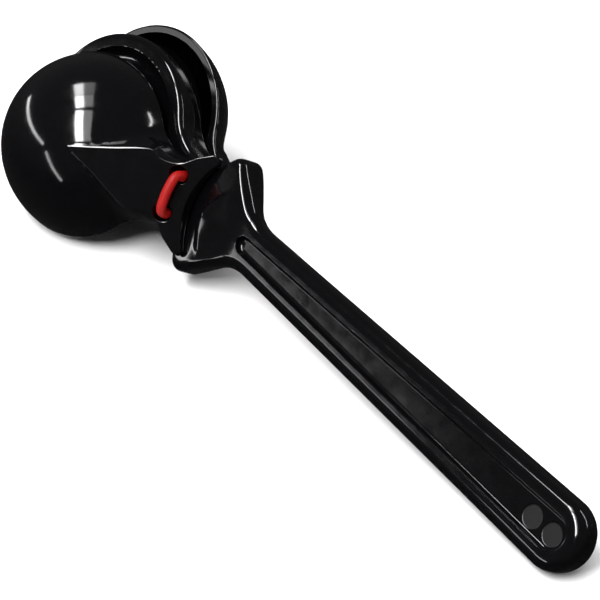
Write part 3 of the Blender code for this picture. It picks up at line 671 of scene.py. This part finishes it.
def ear_outline():
    """The upper side of a shell's outline, from the far end of the disc to the hollow's middle."""
    shell = bpy.context.scene.castanet_shells
    side = side_to_flare(shell.radius, (0.0, HORN_HALF_WIDTH))
    half = HORN_HALF_WIDTH - ARC_FROM_HORN
    radius = (half**2 + shell.hollow**2) / (2 * shell.hollow)
    spread = math.asin(half / radius)
    lower = arc((radius - shell.hollow, 0.0), radius, math.pi - spread, math.pi, 20)
    tip = rounded([side[-1], (-HORN[0], HORN[1]), lower[0]], HORN_RADIUS, 10)
    return side, tip[1:-1] + lower


def smooth_run(route, steps):
    """A smooth curve through the route's own points."""
    route = [np.array(p, dtype=float) for p in route]
    padded = [2 * route[0] - route[1]] + route + [2 * route[-1] - route[-2]]
    out = []
    for before, start, end, after in zip(padded, padded[1:], padded[2:], padded[3:]):
        for t in np.linspace(0.0, 1.0, steps, endpoint=False):
            bend = (2 * before - 5 * start + 4 * end - after) * t**2
            twist = (3 * start - 3 * end + after - before) * t**3
            out.append(0.5 * (2 * start + (end - before) * t + bend + twist))
    return np.array(out + [route[-1]])


def dome_height(place):
    """Height of the dome's outside above the mouth, far below it where there is no dome."""
    shell = bpy.context.scene.castanet_shells
    handle = bpy.context.scene.castanet_handle
    sphere = (shell.radius**2 + shell.dome**2) / (2 * shell.dome)
    along = (place[..., 0] + handle.paddle_centre) / handle.stretch
    left = sphere**2 - along**2 - place[..., 1] ** 2
    return np.where(left > 0, shell.dome - sphere + np.sqrt(np.maximum(left, 0.0)), -shell.dome)


def ramp_slope():
    """How steeply the flat top climbs from the ear's tip to its apex, a step above the dome."""
    shell = bpy.context.scene.castanet_shells
    apex = RAMP_SIDE[0][0]
    return (dome_height(np.array((-apex, 0.0))) + shell.step - shell.tip) / apex


def soft_greater(first, second, width):
    """The greater of two heights, blended where they are nearer than the width."""
    share = np.clip(0.5 + 0.5 * (first - second) / width, 0.0, 1.0)
    return second + (first - second) * share + width * share * (1 - share)


def make_shell(name):
    """One shell, solid: its rim, dome, the ear's sides and the flat top of the ramp."""
    shell = bpy.context.scene.castanet_shells
    side, end = ear_outline()
    foot = np.array(side + end)
    square = inward(foot)
    # The places on the ramp's edge that face the outline
    edge = smooth_run(RAMP_SIDE, 14)[::-1]
    facing = np.array(RAMP_FACING) * MM
    at = np.interp(-np.array(side)[:, 0], facing[:, 0], facing[:, 1])
    at = np.maximum(at, RAMP_SIDE[-1][0])
    even = np.convolve(np.pad(at, 6, mode="edge"), np.full(13, 1 / 13), mode="valid")
    at = at + (even - at) * ease(at, RAMP_SIDE[-1][0], RAMP_SIDE[-1][0] + 2 * MM) * ease(RAMP_SIDE[0][0] - at, 0.0, 2 * MM)
    top = np.column_stack((-at, np.interp(at, edge[:, 0], edge[:, 1])))
    squeeze = 1 - 0.35 * MM / HORN_HALF_WIDTH
    top = np.concatenate((top, [(x - 0.35 * MM, y * squeeze) for x, y in end]))
    slope = ramp_slope()
    high = shell.tip - slope * top[:, 0]
    span = np.linalg.norm(top - foot, axis=1)
    reach = np.hypot(span, high - shell.edge)
    soft = np.minimum(shell.ramp_edge * (0.85 + 0.15 * ease(top[:, 0], -20 * MM, -15 * MM)), 0.4 * reach)
    step = np.maximum(high - dome_height(top), 0.05 * MM)
    blend = np.minimum(shell.blend, (0.15 + 0.45 * ease(top[:, 0], -22 * MM, -15 * MM)) * step)
    columns = []
    for turn in np.linspace(math.pi / 2, 0.0, 7)[:-1]:
        inset = shell.edge * (1 - math.cos(turn))
        place = foot + square * inset
        columns.append(np.column_stack((place, 0 * high + shell.edge * (1 - math.sin(turn)))))
    near = 1 - np.minimum(2.2 * MM, 0.4 * span) / span
    last = 1 - soft / reach
    near = np.minimum(near, last - 0.02)
    shares = [near * (1 - math.cos(math.pi / 2 * t)) for t in np.linspace(0.0, 1.0, 42)]
    shares += [near + (last - near) * t for t in np.linspace(0.0, 1.0, 8)[1:]]
    bend = foot + square * (0.3 * span)[:, None]
    for share in shares:
        s = share[:, None]
        place = foot * (1 - s) ** 2 + bend * 2 * s * (1 - s) + top * s**2
        # Near the apex the flank is a low steep wall on the dome, beside the ear an even skirt
        steep = 1 + 1.0 * ease(-top[:, 0], 15 * MM, 26 * MM)
        flank = shell.edge + (high - shell.edge) * share**steep
        fade = np.minimum(1.0, np.linalg.norm(place - foot, axis=1) / (6 * MM))
        width = np.maximum(blend * fade * fade, 0.001 * MM)
        columns.append(np.column_stack((place, soft_greater(dome_height(place), flank, width))))
    # The rounded edge of the ramp's top
    hub = np.column_stack((np.clip(0.9 * top[:, 0], -34 * MM, -7 * MM), 0 * high))
    into = (hub - top) / np.linalg.norm(hub - top, axis=1)[:, None]
    start = columns[-1]
    corner = np.column_stack((top, high))
    inner = top + into * soft[:, None]
    flat = np.column_stack((inner, shell.tip - slope * inner[:, 0]))
    for t in np.linspace(0.0, 1.0, 7)[1:]:
        columns.append(start * (1 - t) ** 2 + corner * 2 * t * (1 - t) + flat * t * t)
    upper = np.array(columns)
    # Evens out the skirt beside the ear, and leaves the rim, the dome and the ramp's edge alone
    first, last_row = 8, len(columns) - 8
    near_ear = ease(foot[:, 0], -36 * MM, -20 * MM) * (1 - ease(foot[:, 0], -3.5 * MM, -1.5 * MM))
    for _ in range(90):
        heights = upper[:, :, 2]
        mean = (heights[first - 1 : last_row - 1, 1:-1] + heights[first + 1 : last_row + 1, 1:-1]) / 4
        mean = mean + (heights[first:last_row, :-2] + heights[first:last_row, 2:]) / 4
        inside = heights[first:last_row, 1:-1]
        upper[first:last_row, 1:-1, 2] = inside + (mean - inside) * 0.8 * near_ear[1:-1]
    lower = upper[:, -2:0:-1] * np.array((1.0, -1.0, 1.0))
    return rolled(name, np.concatenate((upper, lower), axis=1))


def hollow_out(obj):
    """Cuts the bowl out of a solid shell and softens the inner edge of its mouth."""
    shell = bpy.context.scene.castanet_shells
    handle = bpy.context.scene.castanet_handle
    sphere = (shell.radius**2 + shell.dome**2) / (2 * shell.dome)
    inner = sphere - shell.wall
    level = shell.dome - sphere
    angles = np.linspace(0.0, 0.5 * math.pi + math.asin(-level / inner) - 0.05, 48)
    profile = [(inner * math.sin(a), level + inner * math.cos(a)) for a in angles][::-1]
    mouth = math.sqrt(inner**2 - level**2)
    profile = [(r, z) for r, z in profile if z > 0.2 * MM]
    profile = [(0.0, -2 * MM), (mouth, -2 * MM), (mouth, 0.0)] + profile
    cut(obj, turned("bowl", profile, 160, Matrix.Translation((-handle.paddle_centre, 0.0, 0.0)), handle.stretch))
    limit = mouth + 0.05 * MM

    def on_lip(a, b):
        along = [math.hypot((p.x + handle.paddle_centre) / handle.stretch, p.y) for p in (a, b)]
        return max(abs(a.z), abs(b.z)) < 0.001 * MM and max(along) < limit

    chosen_edges(obj, on_lip)
    bpy.ops.mesh.bevel(offset=0.3 * MM, segments=4, affect="EDGES")
    bpy.ops.object.mode_set(mode="OBJECT")


def cut_lacing(obj, radius, low, high, on_plane=None):
    """The two holes for the cord, and a soft rim where they leave a flat face."""
    cord = bpy.context.scene.castanet_cord
    for side in (-1, 1):
        centre = Vector((-cord.hole_place, side * cord.hole_spacing, 0.0))
        cut(obj, turned("hole", [(0.0, low), (radius, low), (radius, high), (0.0, high)], 48, Matrix.Translation(centre)))
        if on_plane is None:
            continue

        def on_rim(a, b):
            near = all(math.hypot(p.x - centre.x, p.y - centre.y) < radius + 0.01 * MM for p in (a, b))
            return near and on_plane(a) and on_plane(b)

        chosen_edges(obj, on_rim)
        bpy.ops.mesh.bevel(offset=0.3 * MM, segments=4, affect="EDGES")
        bpy.ops.object.mode_set(mode="OBJECT")


def on_ramp(matrix, x, y, height):
    """A point above the ramp of a shell, from the middle of its two holes."""
    cord = bpy.context.scene.castanet_cord
    shell = bpy.context.scene.castanet_shells
    above = shell.tip + ramp_slope() * (cord.hole_place - x)
    return matrix @ Vector((-cord.hole_place + x, y, above + height))


def run_over(matrix, shape, aside, rise):
    """A run of the cord over a ramp, from its shares of a shift, the holes' spacing and a rise."""
    cord = bpy.context.scene.castanet_cord
    return [on_ramp(matrix, x * aside, y * cord.hole_spacing, z * rise) for x, y, z in shape]


def one_leg(front, back, side):
    """Through the back shell and the shoulder into the front shell, on one side of the middle."""
    cord = bpy.context.scene.castanet_cord
    shell = bpy.context.scene.castanet_shells
    y = side * cord.hole_spacing
    outer = shell.tip + ramp_slope() * cord.hole_place
    pull_front = Vector((0.0, -cord.lag * shell.front_slide, 0.0))
    pull_back = Vector((0.0, -cord.lag * shell.back_slide, 0.0))
    first = back @ Vector((-cord.hole_place, -y, 0.5 * outer)) + pull_back
    last = front @ Vector((-cord.hole_place, y, 0.5 * outer)) + pull_front
    points = [back @ Vector((-cord.hole_place, -y, outer + cord.stand)) + pull_back]
    points += [first.lerp(last, share) for share in (0.0, 0.25, 0.5, 0.75, 1.0)]
    return points


def cord_route():
    """The cord's way: from the knot behind, through both shells and the shoulder, and round."""
    cord = bpy.context.scene.castanet_cord
    front, back = shell_matrix("front"), shell_matrix("back")
    route = run_over(back, KNOT_START, cord.knot_aside, cord.knot_rise)
    route += one_leg(front, back, -1)
    route += run_over(front, STITCH_SHAPE, cord.stitch_shift, cord.stitch_rise)
    route += list(reversed(one_leg(front, back, 1)))
    return route + run_over(back, KNOT_END, cord.knot_aside, cord.knot_rise)


def tube(name, points, radii, cyclic):
    """A round cord along the points, made with a bevelled curve that is then turned into a mesh."""
    curve = bpy.data.curves.new(name, "CURVE")
    curve.dimensions = "3D"
    curve.bevel_depth = 1.0
    curve.bevel_resolution = 8
    curve.use_fill_caps = not cyclic
    spline = curve.splines.new("POLY")
    spline.points.add(len(points) - 1)
    for point, place, radius in zip(spline.points, points, radii):
        point.co = (*place, 1.0)
        point.radius = radius
    spline.use_cyclic_u = cyclic
    obj = bpy.data.objects.new(name, curve)
    bpy.context.scene.collection.objects.link(obj)
    alone(obj)
    bpy.ops.object.convert(target="MESH")
    bpy.ops.object.mode_set(mode="EDIT")
    bpy.ops.mesh.select_all(action="SELECT")
    bpy.ops.mesh.remove_doubles(threshold=WELD)
    bpy.ops.mesh.normals_make_consistent(inside=False)
    bpy.ops.object.mode_set(mode="OBJECT")
    return obj


class CASTANET_OT_handle(Operator):
    """Makes the handle with its paddle, shoulder, channels and marks."""

    bl_idname = "castanet.handle"
    bl_label = "Handle"

    def execute(self, context):
        cord = context.scene.castanet_cord
        piece = make_handle()
        flatten_paddle(piece)
        for face in (1, -1):
            cut_dish(piece, face)
            cut_channel(piece, face)
        cut_marks(piece)
        cut_lacing(piece, cord.diameter / 2 + cord.in_shoulder, -2 * HALF_HEAD, 2 * HALF_HEAD)
        finished(piece, black_abs(), 35, lie_matrix(), "handle", "handle_paddle")
        piece.data.materials.append(etched_abs())
        return {"FINISHED"}


class CASTANET_OT_shells(Operator):
    """Makes the two clapper shells, one modelled and one copied."""

    bl_idname = "castanet.shells"
    bl_label = "Clapper shells"

    def execute(self, context):
        cord = context.scene.castanet_cord
        shell = context.scene.castanet_shells
        slope = ramp_slope()
        front = make_shell("front_shell")
        hollow_out(front)
        radius = cord.diameter / 2 + cord.in_ear
        cut_lacing(
            front, radius, -5 * MM, 30 * MM, lambda p: abs(p.z - shell.tip + slope * p.x) < 0.002 * MM
        )
        back = front.copy()
        back.data = front.data.copy()
        back.name = "back_shell"
        context.scene.collection.objects.link(back)
        finish = black_abs()
        for piece, word in ((front, "front"), (back, "back")):
            place = lie_matrix() @ shell_matrix(word)
            finished(piece, finish, 35, place, word + "_clapper", word + "_clapper")
        return {"FINISHED"}


class CASTANET_OT_cord(Operator):
    """Makes the elastic cord with the knot behind the back shell."""

    bl_idname = "castanet.cord"
    bl_label = "Elastic cord"

    def execute(self, context):
        cord = context.scene.castanet_cord
        points = smooth_run(cord_route(), 10)
        radii = np.full(len(points), cord.diameter / 2)
        # The cut ends are a little rounded off
        radii[[0, -1]] *= 0.8
        piece = tube("red_cord", points, radii, False)
        back = shell_matrix("back")
        turns = np.linspace(0.0, 2 * math.pi, 64, endpoint=False)
        loop = [
            on_ramp(back, cord.knot_length * math.cos(a), 0.0, cord.knot_rise + cord.knot_height * math.sin(a))
            for a in turns
        ]
        knot = tube("knot", loop, [cord.knot_cord] * len(loop), True)
        cut(piece, knot, "UNION")
        finished(piece, red_elastic(), 60, lie_matrix(), "handle", "elastic_cord")
        return {"FINISHED"}


# Lights as (name, one end, other end, distance, width, power in watts, pieces lit), the ends
# as directions to the right of, above and toward the camera from the front dome, the width as a share
# of the distance
LAMPS = (
    ("window_top", (-0.29, 0.955, 0.14), (-0.30, 0.86, 0.42), 2.6, 0.15, 13.0, ("front_shell", "back_shell")),
    ("window_upper", (-0.30, 0.85, 0.43), (-0.31, 0.71, 0.655), 2.6, 0.15, 22.0, ()),
    ("window_lower", (-0.32, 0.67, 0.70), (-0.35, 0.09, 0.95), 2.6, 0.15, 60.0, ()),
    ("curtain_top", (-0.19, 0.97, 0.14), (-0.20, 0.87, 0.42), 2.6, 0.30, 4.0, ("front_shell", "back_shell")),
    ("curtain_upper", (-0.21, 0.87, 0.43), (-0.22, 0.72, 0.66), 2.6, 0.30, 6.0, ()),
    ("curtain_lower", (-0.23, 0.67, 0.71), (-0.24, 0.09, 0.96), 2.6, 0.30, 16.0, ()),
    ("left_strip_upper", (-0.76, 0.55, -0.36), (-0.90, 0.02, 0.45), 0.5, 0.05, 0.35, ()),
    ("left_strip_lower", (-0.86, -0.10, 0.48), (-0.63, -0.60, 0.49), 0.5, 0.05, 0.16, ()),
    ("right_strip", (0.77, 0.59, 0.25), (0.95, 0.0, 0.22), 0.6, 0.04, 0.5, ()),
    ("rim_panel", (-0.88, 0.45, 0.12), (-0.97, 0.15, 0.2), 2.6, 0.3, 4.0, ("back_shell",)),
)


class CASTANET_OT_stage(Operator):
    """Makes the floor, the lights and the camera."""

    bl_idname = "castanet.stage"
    bl_label = "Floor, lights and camera"

    def execute(self, context):
        scene = context.scene
        scene.view_settings.view_transform = "Standard"
        alone()
        bpy.ops.mesh.primitive_plane_add(size=6.0, location=(0, 0, 0))
        floor = context.object
        floor.name = "floor"
        floor.data.materials.append(pale_floor())
        # The gloss mirrors the dim room all round, as in the photograph, and not the bright floor
        floor.visible_glossy = False
        lie = lie_matrix()
        turn = lie.to_3x3()
        back = (turn @ Vector(CAMERA_BACK)).normalized()
        up = (turn @ Vector(CAMERA_UP)).normalized()
        right = up.cross(back).normalized()
        up = back.cross(right)
        axes = Matrix((right, up, back)).transposed()
        data = bpy.data.cameras.new("camera")
        data.lens = CAMERA_LENS
        data.sensor_width = 36.0
        data.shift_x, data.shift_y = CAMERA_SHIFT
        data.clip_start = 0.01
        data.clip_end = 20.0
        camera = bpy.data.objects.new("camera", data)
        scene.collection.objects.link(camera)
        place = lie @ Vector(CAMERA_TARGET) + back * CAMERA_DISTANCE
        camera.matrix_world = Matrix.Translation(place) @ axes.to_4x4()
        scene.camera = camera
        world = bpy.data.worlds.new("studio")
        world.use_nodes = True
        # A dim room over a dark table
        air = world.node_tree
        place = node(air, "ShaderNodeTexCoord")
        height = node(air, "ShaderNodeSeparateXYZ", [(place.outputs["Generated"], "Vector")])
        shade = node(
            air,
            "ShaderNodeMapRange",
            [(height.outputs["Z"], "Value")],
            From_Min=-0.3,
            From_Max=0.15,
            To_Min=0.025,
            To_Max=0.065,
        )
        air.links.new(shade.outputs["Result"], air.nodes["Background"].inputs["Strength"])
        air.nodes["Background"].inputs["Color"].default_value = (1.0, 1.0, 1.0, 1.0)
        scene.world = world
        middle = lie @ Vector((-0.048, 0.0, 0.001))
        # A high soft panel whitens the paper. The gloss doesn't mirror it.
        panel_data = bpy.data.lights.new("high_panel", "AREA")
        panel_data.energy = 60.0
        panel_data.size = 3.0
        panel = bpy.data.objects.new("high_panel", panel_data)
        panel.location = (0.0, 0.0, 2.5)
        panel.visible_glossy = False
        scene.collection.objects.link(panel)
        for name, one, other, distance, width, power, lit in LAMPS:
            first = axes @ Vector(one).normalized() * distance
            second = axes @ Vector(other).normalized() * distance
            lamp_data = bpy.data.lights.new(name, "AREA")
            lamp_data.energy = power
            lamp_data.shape = "RECTANGLE"
            lamp_data.size = (second - first).length
            lamp_data.size_y = width * distance
            lamp = bpy.data.objects.new(name, lamp_data)
            scene.collection.objects.link(lamp)
            if lit:
                # The bar's long edge would catch these, which it doesn't in the photograph
                lamp.light_linking.receiver_collection = bpy.data.collections.new(name)
                for piece in lit:
                    lamp.light_linking.receiver_collection.objects.link(bpy.data.objects[piece])
            away = (first + second) / 2
            along = (second - first).normalized()
            out = (away - along * away.dot(along)).normalized()
            cross = out.cross(along)
            facing = Matrix((along, cross, out)).transposed().to_4x4()
            lamp.matrix_world = Matrix.Translation(middle + away) @ facing
        return {"FINISHED"}


class CASTANET_PT_panel(Panel):
    bl_label = "Castanet"
    bl_space_type = "VIEW_3D"
    bl_region_type = "UI"
    bl_category = "Castanet"

    def draw(self, context):
        for operator in OPERATORS:
            self.layout.operator(operator.bl_idname)
        for group in (context.scene.castanet_handle, context.scene.castanet_shells, context.scene.castanet_cord):
            for name in group.bl_rna.properties.keys():
                if name not in ("rna_type", "name"):
                    self.layout.prop(group, name)
        for name in ("black", "etched", "red", "floor"):
            self.layout.prop(context.scene.castanet_colours, name)


GROUPS = {
    "castanet_handle": HandleSizes,
    "castanet_shells": ShellSizes,
    "castanet_cord": CordSizes,
    "castanet_colours": CastanetColours,
}
OPERATORS = (CASTANET_OT_handle, CASTANET_OT_shells, CASTANET_OT_cord, CASTANET_OT_stage)
CLASSES = (*GROUPS.values(), *OPERATORS, CASTANET_PT_panel)


def register():
    for cls in CLASSES:
        bpy.utils.register_class(cls)
    for name, group in GROUPS.items():
        setattr(bpy.types.Scene, name, PointerProperty(type=group))


def unregister():
    for name in GROUPS:
        delattr(bpy.types.Scene, name)
    for cls in reversed(CLASSES):
        bpy.utils.unregister_class(cls)


def main():
    register()
    bpy.ops.castanet.handle()
    bpy.ops.castanet.shells()
    bpy.ops.castanet.cord()
    bpy.ops.castanet.stage()


if __name__ == "__main__":
    main()
